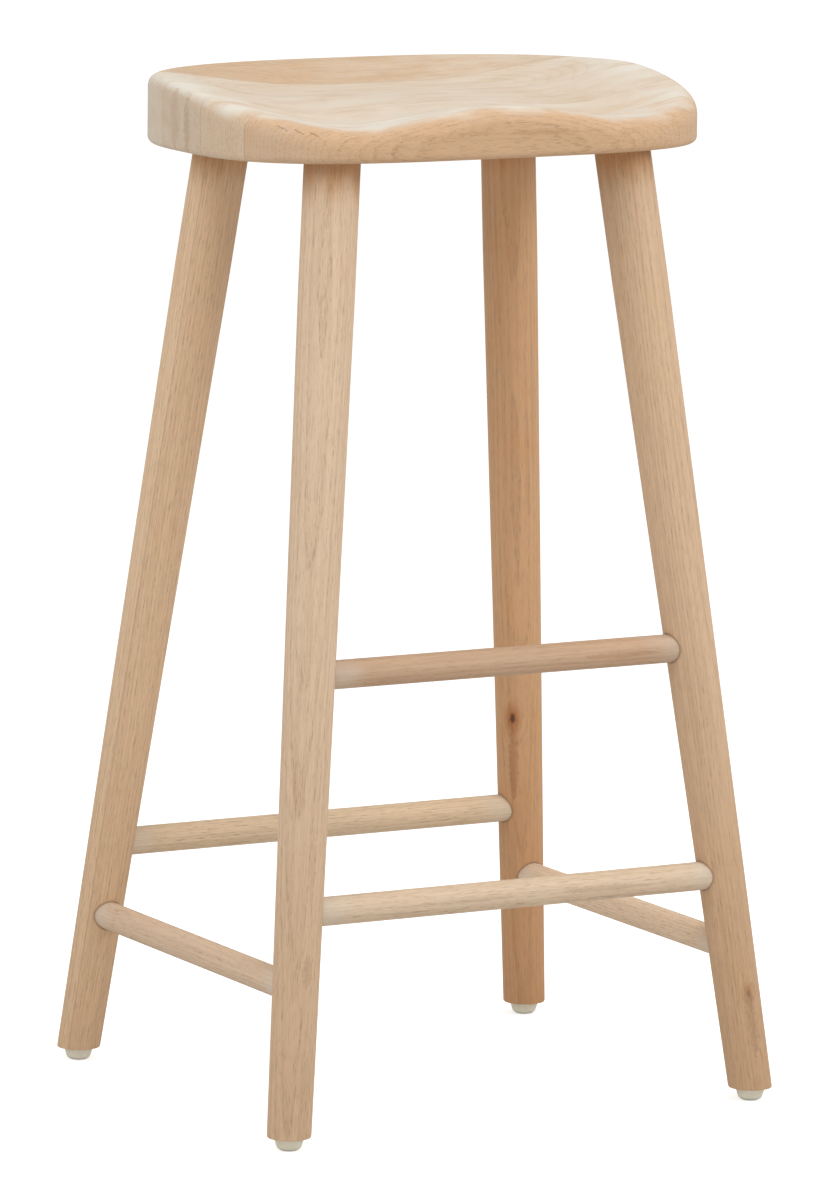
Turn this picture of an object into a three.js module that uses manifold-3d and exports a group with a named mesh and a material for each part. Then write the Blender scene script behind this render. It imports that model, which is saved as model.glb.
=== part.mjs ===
// Bar stool with a sculpted seat, four splayed turned legs and five round stretchers.
// Millimetres, +Z up. The origin is on the floor, in the middle of the four feet.
// The front of the stool faces -Y, and its left side is at -X.
import * as THREE from "three";
import { mergeVertices } from "three/addons/utils/BufferGeometryUtils.js";
import Module from "manifold-3d";

const wasm = await Module();
wasm.setup();

// Overall
const TOTAL_HEIGHT = 750;
const SEAT_THICKNESS = 50; // at the rim along the back, the highest line of the seat
const UNDERSIDE_Z = TOTAL_HEIGHT - SEAT_THICKNESS;
const GAP = 0.3; // left between pieces that touch

// Seat outline: two half superellipses that meet on the seat's widest line
const SEAT_WIDTH = 400;
const SEAT_WIDEST_Y = 7;
const SEAT_FRONT_REACH = 139; // from the widest line to the front edge
const SEAT_BACK_REACH = 143;
const FRONT_SQUARENESS = 3.3; // 2 is an ellipse, and more is squarer
const BACK_SQUARENESS = 2.5;

// Seat top: a shallow bowl, two thigh channels that run out at the front, and a pommel between them
const BOWL_DEPTH = 15;
const BOWL_SLOPE = 0.52; // share of the reach that the bowl's side takes up
const BOWL_FRONT_FADE = 0.5; // share of the bowl's depth that is lost at the front edge
const CHANNEL_DEPTH = 26;
const CHANNEL_X = 118; // from the middle to the deepest line of a channel
const CHANNEL_START_Y = 45;
const CHANNEL_END_Y = -125;
const POMMEL_DROP = 12; // how far the pommel lies below the back rim
const CORNER_DROP = 17; // how far the rim falls at the seat's sides, in front
const TOP_EDGE_RADIUS = 8;
const BOTTOM_EDGE_RADIUS = 5;
const SEAT_SECTORS = 72;
const SKIN_SHARES = [0.9, 0.82, 0.74, 0.66, 0.58, 0.49, 0.38, 0.2]; // rings of the top, from rim to middle

// Glue lines between the seat's staves, from front to back
const STAVE_JOINTS_Y = [-78, -33, 25, 85];

// Legs
const LEG_SPACING_X = 239; // between leg axes, at the seat's underside
const LEG_SPACING_Y = 170;
const SPLAY_X = THREE.MathUtils.degToRad(6);
const SPLAY_Y = THREE.MathUtils.degToRad(7);
const LEG_TOP_RADIUS = 20.5;
const LEG_FOOT_RADIUS = 16;
const LEG_STRAIGHT_LENGTH = 98; // untapered length under the seat
const TENON_RADIUS = 14;
const TENON_LENGTH = 14;
const LEG_SEGMENTS = 32;

// Stretchers: plain dowels let into the legs at their full diameter
const STRETCHER_RADIUS = 10.5;
const STRETCHER_SHORT_OF_AXIS = 2; // from a dowel's end to the leg's axis
const STRETCHER_SEGMENTS = 24;
const UPPER_FOOTREST_Z = 334.5;
const LOWER_FRONT_Z = 167;
const BACK_Z = 167;
const SIDE_Z = 113.5;

// Glides and their nails
const GLIDE_HEIGHT = 9.4;
const GLIDE_TOP_RADIUS = 11;
const GLIDE_BASE_RADIUS = 7;
const GLIDE_DOME_HEIGHT = 6.8; // of the curved part, below the straight rim
const NAIL_RADIUS = 1.2;
const NAIL_HEAD_RADIUS = 3.5;
const NAIL_HEAD_Z = 2.1; // underside of the head, above the floor
const NAIL_HEAD_THICKNESS = 1.1;
const NAIL_IN_LEG = 16;
const NAIL_POINT_LENGTH = 3.6;
const GLIDE_SEGMENTS = 20;
const NAIL_SEGMENTS = 12;

const LEG_SIDES = [
  { name: "front_left", x: -1, y: -1 },
  { name: "front_right", x: 1, y: -1 },
  { name: "back_left", x: -1, y: 1 },
  { name: "back_right", x: 1, y: 1 },
];

function woodMaterial(color) {
  return new THREE.MeshStandardMaterial({ color, roughness: 0.75, metalness: 0 });
}

function plasticMaterial() {
  return new THREE.MeshStandardMaterial({ color: 0xd9d9d4, roughness: 0.45, metalness: 0 });
}

function steelMaterial() {
  return new THREE.MeshStandardMaterial({ color: 0x9a9a98, roughness: 0.35, metalness: 1 });
}

// A closed three.js geometry as a solid that can be joined and cut.
function toSolid(geometry) {
  const bare = geometry.clone();
  bare.deleteAttribute("normal");
  bare.deleteAttribute("uv");
  const merged = mergeVertices(bare, 1e-4);
  return new wasm.Manifold(
    new wasm.Mesh({
      numProp: 3,
      vertProperties: new Float32Array(merged.attributes.position.array),
      triVerts: new Uint32Array(merged.index.array),
    }),
  );
}

function toGeometry(solid) {
  const mesh = solid.getMesh();
  const geometry = new THREE.BufferGeometry();
  geometry.setAttribute("position", new THREE.BufferAttribute(mesh.vertProperties, 3));
  geometry.setIndex(new THREE.BufferAttribute(mesh.triVerts, 1));
  geometry.computeVertexNormals();
  return geometry;
}

// A turned shape about the Z axis, from [radius, height] points that go from its bottom to its top.
function turned(points, segments) {
  const profile = points.map(([radius, height]) => new THREE.Vector2(radius, height));
  return new THREE.LatheGeometry(profile, segments).rotateX(Math.PI / 2);
}

// A round bar about the Z axis between two heights.
function bar(radius, bottom, top, segments) {
  return turned([[0, bottom], [radius, bottom], [radius, top], [0, top]], segments);
}

// A box as wide as the whole stool between two heights.
function slab(bottom, top) {
  const wide = 2 * TOTAL_HEIGHT;
  const box = new THREE.BoxGeometry(wide, wide, top - bottom);
  return toSolid(box.translate(0, 0, (top + bottom) / 2));
}

function smoothStep(t) {
  const s = THREE.MathUtils.clamp(t, 0, 1);
  return s * s * (3 - 2 * s);
}

// Distance from the seat's centre to its outline in a direction.
function outlineReach(angle) {
  const front = Math.sin(angle) < 0;
  const power = front ? FRONT_SQUARENESS : BACK_SQUARENESS;
  const depth = front ? SEAT_FRONT_REACH : SEAT_BACK_REACH;
  const across = Math.abs(Math.cos(angle)) / (SEAT_WIDTH / 2);
  const along = Math.abs(Math.sin(angle)) / depth;
  return (across ** power + along ** power) ** (-1 / power);
}

// How far the front part of the seat falls below the rim at a distance from the middle line.
function frontDrop(x) {
  const distance = Math.abs(x);
  const turn = Math.PI / 2;
  if (distance < CHANNEL_X) {
    const rise = Math.sin((turn * distance) / CHANNEL_X) ** 2;
    return POMMEL_DROP + (CHANNEL_DEPTH - POMMEL_DROP) * rise;
  }
  const out = Math.min((distance - CHANNEL_X) / (SEAT_WIDTH / 2 - CHANNEL_X), 1);
  return CHANNEL_DEPTH - (CHANNEL_DEPTH - CORNER_DROP) * Math.sin(turn * out) ** 2;
}

// The seat's thickness at a point, share being 0 in the middle and 1 on the outline.
function seatThickness(x, y, share) {
  const forward = smoothStep((CHANNEL_START_Y - y) / (CHANNEL_START_Y - CHANNEL_END_Y));
  const bowl = BOWL_DEPTH * smoothStep((1 - share) / BOWL_SLOPE) * (1 - BOWL_FRONT_FADE * forward);
  return SEAT_THICKNESS - bowl - forward * frontDrop(x);
}

// The rings of the seat's skin, from the middle of the underside, round the edge, to the middle of the top.
// inset is measured in from the outline, drop down from the top, and rise up from the underside.
function seatRings() {
  const rings = [{ share: 0, rise: 0 }];
  for (const degrees of [0, 30, 60, 90]) {
    const turn = THREE.MathUtils.degToRad(degrees);
    const inset = BOTTOM_EDGE_RADIUS * (1 - Math.sin(turn));
    rings.push({ inset, rise: BOTTOM_EDGE_RADIUS * (1 - Math.cos(turn)) });
  }
  for (const degrees of [0, 22.5, 45, 67.5, 90]) {
    const turn = THREE.MathUtils.degToRad(degrees);
    const inset = TOP_EDGE_RADIUS * (1 - Math.cos(turn));
    rings.push({ inset, drop: TOP_EDGE_RADIUS * (1 - Math.sin(turn)) });
  }
  for (const share of SKIN_SHARES) rings.push({ share, drop: 0 });
  rings.push({ share: 0, drop: 0 });
  return rings;
}

// The whole sculpted seat in one piece: a lathe's skin whose points are moved out to the outline
// and up to the sculpted top.
function seatBlank() {
  const rings = seatRings();
  const last = rings.length - 1;
  const profile = rings.map((ring, i) => new THREE.Vector2(i === 0 || i === last ? 0 : 1, i));
  const geometry = new THREE.LatheGeometry(profile, SEAT_SECTORS);
  const points = geometry.attributes.position;
  for (let i = 0; i < points.count; i++) {
    const ring = rings[Math.round(points.getY(i))];
    const angle = Math.atan2(-points.getZ(i), points.getX(i));
    const reach = outlineReach(angle);
    const share = ring.share ?? 1 - ring.inset / reach;
    const x = share * reach * Math.cos(angle);
    const y = SEAT_WIDEST_Y + share * reach * Math.sin(angle);
    const z = ring.rise ?? seatThickness(x, y, share) - ring.drop;
    points.setXYZ(i, x, y, z);
  }
  return toSolid(geometry);
}

// The leg's axis, pointing up, for the side of the stool that it is on.
function legDirection(side) {
  return new THREE.Vector3(-side.x * Math.tan(SPLAY_X), -side.y * Math.tan(SPLAY_Y), 1).normalize();
}

// The point where a leg's axis crosses a height.
function legAxisAt(side, z) {
  const fall = UNDERSIDE_Z - z;
  return new THREE.Vector3(
    side.x * (LEG_SPACING_X / 2 + fall * Math.tan(SPLAY_X)),
    side.y * (LEG_SPACING_Y / 2 + fall * Math.tan(SPLAY_Y)),
    z,
  );
}

// A bar along a leg's axis, its heights measured along the axis from the seat's underside.
function alongLeg(side, geometry) {
  const tilt = new THREE.Quaternion().setFromUnitVectors(new THREE.Vector3(0, 0, 1), legDirection(side));
  return toSolid(geometry.applyQuaternion(tilt));
}

// The blind bores that the stretchers enter: the height of each, and the axis that it runs along.
function legBores(side) {
  const bores = [{ z: SIDE_Z, along: "y" }];
  if (side.y < 0) bores.push({ z: UPPER_FOOTREST_Z, along: "x" }, { z: LOWER_FRONT_Z, along: "x" });
  else bores.push({ z: BACK_Z, along: "x" });
  return bores;
}

// One bore, from just short of the leg's axis to well outside the leg on its inner side.
function boreSolid(side, bore) {
  const reach = LEG_TOP_RADIUS + 2 * STRETCHER_RADIUS;
  const end = STRETCHER_SHORT_OF_AXIS - GAP;
  const shape = bar(STRETCHER_RADIUS + GAP, end, reach, STRETCHER_SEGMENTS);
  if (bore.along === "x") shape.rotateY(-side.x * (Math.PI / 2));
  else shape.rotateX(side.y * (Math.PI / 2));
  const at = legAxisAt(side, bore.z);
  const top = legAxisAt(side, UNDERSIDE_Z);
  return toSolid(shape.translate(at.x - top.x, at.y - top.y, at.z - top.z));
}

// A leg, with its origin where its axis meets the seat's underside.
function legGeometry(side) {
  const slope = legDirection(side).z;
  const foot = -UNDERSIDE_Z / slope;
  const over = LEG_TOP_RADIUS; // extra length that the level cuts at both ends take off
  const taper = (LEG_TOP_RADIUS - LEG_FOOT_RADIUS) / (-foot - LEG_STRAIGHT_LENGTH);
  const spindle = turned(
    [
      [0, foot - over],
      [LEG_FOOT_RADIUS - over * taper, foot - over],
      [LEG_TOP_RADIUS, -LEG_STRAIGHT_LENGTH],
      [LEG_TOP_RADIUS, over],
      [0, over],
    ],
    LEG_SEGMENTS,
  );
  const tenon = bar(TENON_RADIUS, -over, 2 * over, LEG_SEGMENTS);
  const footZ = GLIDE_HEIGHT - UNDERSIDE_Z;
  const body = alongLeg(side, spindle).intersect(slab(footZ, -GAP));
  const stub = alongLeg(side, tenon).intersect(slab(-over, TENON_LENGTH));
  let leg = body.add(stub);
  for (const bore of legBores(side)) leg = leg.subtract(boreSolid(side, bore));
  const pilot = bar(NAIL_RADIUS + GAP, footZ - over, footZ + NAIL_IN_LEG + GAP, NAIL_SEGMENTS);
  const at = legAxisAt(side, GLIDE_HEIGHT);
  const top = legAxisAt(side, UNDERSIDE_Z);
  leg = leg.subtract(toSolid(pilot.translate(at.x - top.x, at.y - top.y, 0)));
  return toGeometry(leg);
}

// The seat with the four blind bores for the leg tenons, measured up from its underside.
function boredSeat() {
  let seat = seatBlank();
  for (const side of LEG_SIDES) {
    const at = legAxisAt(side, UNDERSIDE_Z);
    const shape = bar(TENON_RADIUS + GAP, -TENON_LENGTH, 2 * TENON_LENGTH, LEG_SEGMENTS);
    const bore = alongLeg(side, shape).intersect(slab(-TENON_LENGTH, TENON_LENGTH + GAP));
    seat = seat.subtract(bore.translate([at.x, at.y, 0]));
  }
  return seat;
}

// The seat sawn along its glue lines.
function addSeat(group) {
  const seat = boredSeat();
  const names = ["seat_stave_1_front", "seat_stave_2", "seat_stave_3", "seat_stave_4", "seat_stave_5_back"];
  const tones = [0xd2ad85, 0xd9bb97, 0xcfb08b, 0xd6b691, 0xd0a981];
  const reach = SEAT_WIDTH;
  names.forEach((name, i) => {
    const front = i === 0 ? -reach : STAVE_JOINTS_Y[i - 1] + GAP / 2;
    const back = i === names.length - 1 ? reach : STAVE_JOINTS_Y[i] - GAP / 2;
    const box = new THREE.BoxGeometry(2 * reach, back - front, 2 * reach).translate(0, (front + back) / 2, 0);
    const stave = new THREE.Mesh(toGeometry(seat.intersect(toSolid(box))), woodMaterial(tones[i]));
    stave.name = name;
    stave.position.z = UNDERSIDE_Z;
    group.add(stave);
  });
}

function addLegs(group) {
  const tones = [0xd8b48f, 0xcda47a, 0xcfa981, 0xc39768];
  LEG_SIDES.forEach((side, i) => {
    const leg = new THREE.Mesh(legGeometry(side), woodMaterial(tones[i]));
    leg.name = "leg_" + side.name;
    leg.position.copy(legAxisAt(side, UNDERSIDE_Z));
    group.add(leg);
  });
}

// A dowel between two legs, turned to lie along X or Y.
function addStretcher(group, name, from, to, z) {
  const start = legAxisAt(from, z);
  const end = legAxisAt(to, z);
  const length = start.distanceTo(end) - 2 * STRETCHER_SHORT_OF_AXIS;
  const shape = bar(STRETCHER_RADIUS, -length / 2, length / 2, STRETCHER_SEGMENTS);
  const dowel = new THREE.Mesh(shape, woodMaterial(0xccab86));
  dowel.name = name;
  dowel.position.copy(start.clone().add(end).multiplyScalar(0.5));
  dowel.quaternion.setFromUnitVectors(new THREE.Vector3(0, 0, 1), end.clone().sub(start).normalize());
  group.add(dowel);
}

function addStretchers(group) {
  const [frontLeft, frontRight, backLeft, backRight] = LEG_SIDES;
  addStretcher(group, "footrest_front_upper", frontLeft, frontRight, UPPER_FOOTREST_Z);
  addStretcher(group, "stretcher_front_lower", frontLeft, frontRight, LOWER_FRONT_Z);
  addStretcher(group, "stretcher_back", backLeft, backRight, BACK_Z);
  addStretcher(group, "stretcher_left", frontLeft, backLeft, SIDE_Z);
  addStretcher(group, "stretcher_right", frontRight, backRight, SIDE_Z);
}

// A domed glide with a pocket for its nail's head, open round the nail at the top.
function glideGeometry() {
  const top = GLIDE_HEIGHT - GAP;
  const dome = [];
  for (const degrees of [0, 25, 50, 75]) {
    const turn = THREE.MathUtils.degToRad(degrees);
    const radius = GLIDE_BASE_RADIUS + (GLIDE_TOP_RADIUS - GLIDE_BASE_RADIUS) * Math.sin(turn);
    dome.push([radius, GLIDE_DOME_HEIGHT * (1 - Math.cos(turn))]);
  }
  const pocketFloor = NAIL_HEAD_Z - GAP;
  const pocketRoof = NAIL_HEAD_Z + NAIL_HEAD_THICKNESS + GAP;
  return turned(
    [
      [0, 0],
      ...dome,
      [GLIDE_TOP_RADIUS, GLIDE_DOME_HEIGHT],
      [GLIDE_TOP_RADIUS, top],
      [NAIL_RADIUS + GAP, top],
      [NAIL_RADIUS + GAP, pocketRoof],
      [NAIL_HEAD_RADIUS + GAP, pocketRoof],
      [NAIL_HEAD_RADIUS + GAP, pocketFloor],
      [0, pocketFloor],
    ],
    GLIDE_SEGMENTS,
  );
}

function nailGeometry() {
  const headTop = NAIL_HEAD_Z + NAIL_HEAD_THICKNESS;
  const tip = GLIDE_HEIGHT + NAIL_IN_LEG;
  return turned(
    [
      [0, NAIL_HEAD_Z],
      [NAIL_HEAD_RADIUS, NAIL_HEAD_Z],
      [NAIL_HEAD_RADIUS, headTop],
      [NAIL_RADIUS, headTop],
      [NAIL_RADIUS, tip - NAIL_POINT_LENGTH],
      [0, tip],
    ],
    NAIL_SEGMENTS,
  );
}

function addGlides(group) {
  for (const side of LEG_SIDES) {
    const at = legAxisAt(side, GLIDE_HEIGHT);
    const foot = new THREE.Group();
    foot.position.set(at.x, at.y, 0);
    const glide = new THREE.Mesh(glideGeometry(), plasticMaterial());
    glide.name = "glide_" + side.name;
    const nail = new THREE.Mesh(nailGeometry(), steelMaterial());
    nail.name = "glide_nail_" + side.name;
    foot.add(glide, nail);
    group.add(foot);
  }
}

const stool = new THREE.Group();
addSeat(stool);
addLegs(stool);
addStretchers(stool);
addGlides(stool);

export default stool;
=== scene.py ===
import math

import bpy
from mathutils import Matrix, Vector


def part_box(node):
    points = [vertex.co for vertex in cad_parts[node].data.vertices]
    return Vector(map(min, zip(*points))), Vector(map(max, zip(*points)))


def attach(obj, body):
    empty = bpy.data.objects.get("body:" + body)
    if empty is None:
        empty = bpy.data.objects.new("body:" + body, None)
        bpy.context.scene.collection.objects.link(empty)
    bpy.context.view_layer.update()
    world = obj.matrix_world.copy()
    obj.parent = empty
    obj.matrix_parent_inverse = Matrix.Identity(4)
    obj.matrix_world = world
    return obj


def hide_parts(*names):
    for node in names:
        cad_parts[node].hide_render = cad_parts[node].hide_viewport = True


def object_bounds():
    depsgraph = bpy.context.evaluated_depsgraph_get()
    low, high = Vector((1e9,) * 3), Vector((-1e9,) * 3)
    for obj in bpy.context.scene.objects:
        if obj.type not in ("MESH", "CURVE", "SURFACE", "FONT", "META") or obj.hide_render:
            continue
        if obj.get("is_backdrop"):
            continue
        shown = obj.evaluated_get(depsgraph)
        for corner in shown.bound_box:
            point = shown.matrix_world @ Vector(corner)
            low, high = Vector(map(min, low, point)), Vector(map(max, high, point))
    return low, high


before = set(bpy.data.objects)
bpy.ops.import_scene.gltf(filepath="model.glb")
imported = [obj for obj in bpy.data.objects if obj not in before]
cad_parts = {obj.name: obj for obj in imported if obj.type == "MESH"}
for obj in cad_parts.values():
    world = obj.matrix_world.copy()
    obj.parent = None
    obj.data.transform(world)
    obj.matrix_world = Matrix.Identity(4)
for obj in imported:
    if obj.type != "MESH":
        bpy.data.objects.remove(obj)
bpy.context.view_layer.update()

# ---------------------------------------------------------------------------------------------
# The camera stands in front of the stool and a little to its left, slightly higher than the seat.
# It is far off with a long lens, so the legs hardly converge, and it leans by half a degree.
VIEW_AZIMUTH = math.radians(-28.711)
VIEW_ELEVATION = math.radians(9.062)
VIEW_LEAN = math.radians(0.666)
VIEW_DISTANCE = 5.974
VIEW_AIM = Vector((-0.0032, 0.0028, 0.3605))
LENS_LENGTH = 242.975

view_turn = (
    Matrix.Rotation(VIEW_AZIMUTH, 3, "Z")
    @ Matrix.Rotation(math.pi / 2 - VIEW_ELEVATION, 3, "X")
    @ Matrix.Rotation(VIEW_LEAN, 3, "Z")
)
up = Vector((0, 0, 1))
view_back = view_turn @ up
bpy.ops.object.camera_add(
    location=VIEW_AIM + view_back * VIEW_DISTANCE, rotation=view_turn.to_euler()
)
camera = bpy.context.object
camera.name = "stool_camera"
camera.data.lens = LENS_LENGTH
camera.data.clip_end = 100
bpy.context.scene.camera = camera

# ---------------------------------------------------------------------------------------------
# The room is a white studio sweep: a wide pale floor, an even white surround, one broad soft light
# overhead that makes the seat's top a little brighter than its sides, and a softbox on each side.
FLOOR_SIZE = 12
SURROUND_STRENGTH = 0.60
SURROUND_SEEN_STRENGTH = 1.1
OVERHEAD_POWER = 31
OVERHEAD_SIZE = 3.0
LEFT_LIGHT_POWER = 18
RIGHT_LIGHT_POWER = 24
SIDE_LIGHT_SIZE = 1.2
FLOOR_GLOW = 0.6

scene = bpy.context.scene
scene.view_settings.view_transform = "Standard"
scene.world = bpy.data.worlds.new("white_surround")
scene.world.use_nodes = True
surround = scene.world.node_tree.nodes["Background"]
surround.inputs["Color"].default_value = (1.0, 0.995, 0.985, 1)
seen = scene.world.node_tree.nodes.new("ShaderNodeLightPath")
strength = scene.world.node_tree.nodes.new("ShaderNodeMapRange")
strength.inputs["To Min"].default_value = SURROUND_STRENGTH
strength.inputs["To Max"].default_value = SURROUND_SEEN_STRENGTH
scene.world.node_tree.links.new(seen.outputs["Is Camera Ray"], strength.inputs["Value"])
scene.world.node_tree.links.new(strength.outputs["Result"], surround.inputs["Strength"])

for name, place, aim, power, size in (
    ("overhead_softbox", (0.3, -0.4, 3.2), (0, 0, 0.5), OVERHEAD_POWER, OVERHEAD_SIZE),
    ("left_softbox", (-2.25, -0.5, 1.9), (0, 0, 0.75), LEFT_LIGHT_POWER, SIDE_LIGHT_SIZE),
    ("right_softbox", (1.5, -1.9, 2.0), (0, 0, 0.75), RIGHT_LIGHT_POWER, SIDE_LIGHT_SIZE),
):
    bpy.ops.object.light_add(type="AREA", location=place)
    softbox = bpy.context.object
    softbox.name = name
    softbox.data.energy = power
    softbox.data.size = size
    softbox.rotation_euler = (Vector(aim) - Vector(place)).to_track_quat("-Z", "Y").to_euler()

bpy.ops.mesh.primitive_plane_add(size=FLOOR_SIZE)
floor = bpy.context.object
floor.name = "studio_floor"
floor_paint = bpy.data.materials.new("floor_paint")
floor_paint.use_nodes = True
floor_shader = floor_paint.node_tree.nodes["Principled BSDF"]
floor_shader.inputs["Base Color"].default_value = (0.70, 0.70, 0.695, 1)
floor_shader.inputs["Roughness"].default_value = 0.9
floor_shader.inputs["Specular IOR Level"].default_value = 0.1
floor_shader.inputs["Emission Color"].default_value = (1, 1, 1, 1)
glow = floor_paint.node_tree.nodes.new("ShaderNodeMath")
glow.operation = "MULTIPLY"
glow.inputs[1].default_value = FLOOR_GLOW
floor_seen = floor_paint.node_tree.nodes.new("ShaderNodeLightPath")
floor_paint.node_tree.links.new(floor_seen.outputs["Is Camera Ray"], glow.inputs[0])
floor_paint.node_tree.links.new(glow.outputs[0], floor_shader.inputs["Emission Strength"])
# From below the floor is clear, so the stool's underside can be looked at.
floor_side = floor_paint.node_tree.nodes.new("ShaderNodeNewGeometry")
clear = floor_paint.node_tree.nodes.new("ShaderNodeBsdfTransparent")
one_sided = floor_paint.node_tree.nodes.new("ShaderNodeMixShader")
floor_output = floor_paint.node_tree.nodes["Material Output"]
floor_paint.node_tree.links.new(floor_side.outputs["Backfacing"], one_sided.inputs[0])
floor_paint.node_tree.links.new(floor_shader.outputs["BSDF"], one_sided.inputs[1])
floor_paint.node_tree.links.new(clear.outputs["BSDF"], one_sided.inputs[2])
floor_paint.node_tree.links.new(one_sided.outputs["Shader"], floor_output.inputs["Surface"])
floor.data.materials.append(floor_paint)
floor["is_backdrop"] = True

# ---------------------------------------------------------------------------------------------
# The seat is one glued-up oak board, hollowed and rounded: five staves side by side with their
# grain from left to right. It is a shallow bowl with two thigh channels and a pommel in front,
# and four blind holes in its flat underside take the legs' tenons.
STAVES = [
    "seat_stave_1_front",
    "seat_stave_2",
    "seat_stave_3",
    "seat_stave_4",
    "seat_stave_5_back",
]
stave_boxes = [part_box(name) for name in STAVES]
seat_low = Vector(min(low[i] for low, high in stave_boxes) for i in range(3))
seat_high = Vector(max(high[i] for low, high in stave_boxes) for i in range(3))
stave_joints = [
    (stave_boxes[i][1].y + stave_boxes[i + 1][0].y) / 2 for i in range(len(STAVES) - 1)
]

SEAT_WIDEST_Y = 0.007
FRONT_SQUARENESS = 3.3
BACK_SQUARENESS = 2.5
BOWL_DEPTH = 0.015
BOWL_SLOPE = 0.52
BOWL_FRONT_FADE = 0.5
CHANNEL_DEPTH = 0.026
CHANNEL_X = 0.118
CHANNEL_START_Y = 0.045
CHANNEL_END_Y = -0.125
POMMEL_DROP = 0.012
CORNER_DROP = 0.017
TOP_EDGE_RADIUS = 0.008
FRONT_EDGE_RADIUS = 0.016
BOTTOM_EDGE_RADIUS = 0.005
SEAT_SECTORS = 200
EDGE_STEPS = 8
SIDE_STEPS = 4
TOP_RINGS = 30

seat_half_width = seat_high.x
seat_thickness = seat_high.z - seat_low.z


def smooth_step(t):
    s = min(max(t, 0), 1)
    return s * s * (3 - 2 * s)


def outline_reach(angle):
    """Distance from the seat's centre to its outline, a rounded oblong that is squarer in front."""
    front = math.sin(angle) < 0
    power = FRONT_SQUARENESS if front else BACK_SQUARENESS
    depth = SEAT_WIDEST_Y - seat_low.y if front else seat_high.y - SEAT_WIDEST_Y
    across = abs(math.cos(angle)) / seat_half_width
    along = abs(math.sin(angle)) / depth
    return (across**power + along**power) ** (-1 / power)


def front_drop(x):
    """How far the front part falls below the rim: least on the pommel, most in the channels."""
    distance = abs(x)
    if distance < CHANNEL_X:
        rise = math.sin(math.pi / 2 * distance / CHANNEL_X) ** 2
        return POMMEL_DROP + (CHANNEL_DEPTH - POMMEL_DROP) * rise
    out = min((distance - CHANNEL_X) / (seat_half_width - CHANNEL_X), 1)
    return CHANNEL_DEPTH - (CHANNEL_DEPTH - CORNER_DROP) * math.sin(math.pi / 2 * out) ** 2


def carved_thickness(x, y, share):
    """The seat's thickness at a point; share is 0 in the middle and 1 on the outline."""
    forward = smooth_step((CHANNEL_START_Y - y) / (CHANNEL_START_Y - CHANNEL_END_Y))
    bowl = BOWL_DEPTH * smooth_step((1 - share) / BOWL_SLOPE) * (1 - BOWL_FRONT_FADE * forward)
    return seat_thickness - bowl - forward * front_drop(x)


def seat_ring_places():
    """(part of the seat, position in that part) of each ring, from underneath to the top."""
    places = [("underside", 0), ("underside", 0.5)]
    places += [("bottom_edge", i / EDGE_STEPS) for i in range(EDGE_STEPS + 1)]
    places += [("side", i / SIDE_STEPS) for i in range(1, SIDE_STEPS)]
    places += [("top_edge", i / EDGE_STEPS) for i in range(EDGE_STEPS + 1)]
    places += [("top", i / TOP_RINGS) for i in range(1, TOP_RINGS + 1)]
    return places


def carved_point(place, angle):
    part, position = place
    reach = outline_reach(angle)
    forward = smooth_step(-math.sin(angle) / 0.6)
    edge = TOP_EDGE_RADIUS + (FRONT_EDGE_RADIUS - TOP_EDGE_RADIUS) * forward
    turn = position * math.pi / 2
    if part == "underside":
        share = position * (1 - BOTTOM_EDGE_RADIUS / reach)
    elif part == "bottom_edge":
        share = 1 - BOTTOM_EDGE_RADIUS * (1 - math.sin(turn)) / reach
    elif part == "side":
        share = 1
    elif part == "top_edge":
        share = 1 - edge * (1 - math.cos(turn)) / reach
    else:
        share = (1 - edge / reach) * (1 - position)
    x = share * reach * math.cos(angle)
    y = SEAT_WIDEST_Y + share * reach * math.sin(angle)
    carved = carved_thickness(x, y, share)
    if part == "underside":
        z = 0
    elif part == "bottom_edge":
        z = BOTTOM_EDGE_RADIUS * (1 - math.cos(turn))
    elif part == "side":
        z = BOTTOM_EDGE_RADIUS + (carved - edge - BOTTOM_EDGE_RADIUS) * position
    elif part == "top_edge":
        z = carved - edge * (1 - math.sin(turn))
    else:
        z = carved
    return Vector((x, y, seat_low.z + z))


def deselect_all():
    if bpy.context.object and bpy.context.object.mode == "EDIT":
        bpy.ops.object.mode_set(mode="OBJECT")
    bpy.ops.object.select_all(action="DESELECT")


def pick(piece):
    deselect_all()
    piece.select_set(True)
    bpy.context.view_layer.objects.active = piece


def copy_of(piece, name):
    """A copy with its own mesh."""
    copy = piece.copy()
    copy.data = piece.data.copy()
    copy.name = name
    copy.data.name = name
    bpy.context.collection.objects.link(copy)
    return copy


def drop(piece):
    bpy.data.objects.remove(piece)


def saw(piece, at, normal):
    """Cuts a piece along a plane, closes the cut and keeps what lies behind the plane's normal."""
    pick(piece)
    bpy.ops.object.mode_set(mode="EDIT")
    bpy.ops.mesh.select_all(action="SELECT")
    bpy.ops.mesh.bisect(plane_co=at, plane_no=normal, use_fill=True, clear_outer=True)
    bpy.ops.object.mode_set(mode="OBJECT")


def bore(piece, start, direction, radius, length):
    """Drills a round hole from start along direction."""
    middle = start + direction * length / 2
    turn = up.rotation_difference(direction).to_euler()
    deselect_all()
    bpy.ops.mesh.primitive_cylinder_add(
        vertices=64, radius=radius, depth=length, location=middle, rotation=turn
    )
    drill = bpy.context.object
    pick(piece)
    cut = piece.modifiers.new("bore", "BOOLEAN")
    cut.object = drill
    cut.operation = "DIFFERENCE"
    cut.solver = "EXACT"
    bpy.ops.object.modifier_apply(modifier="bore")
    drop(drill)


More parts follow.
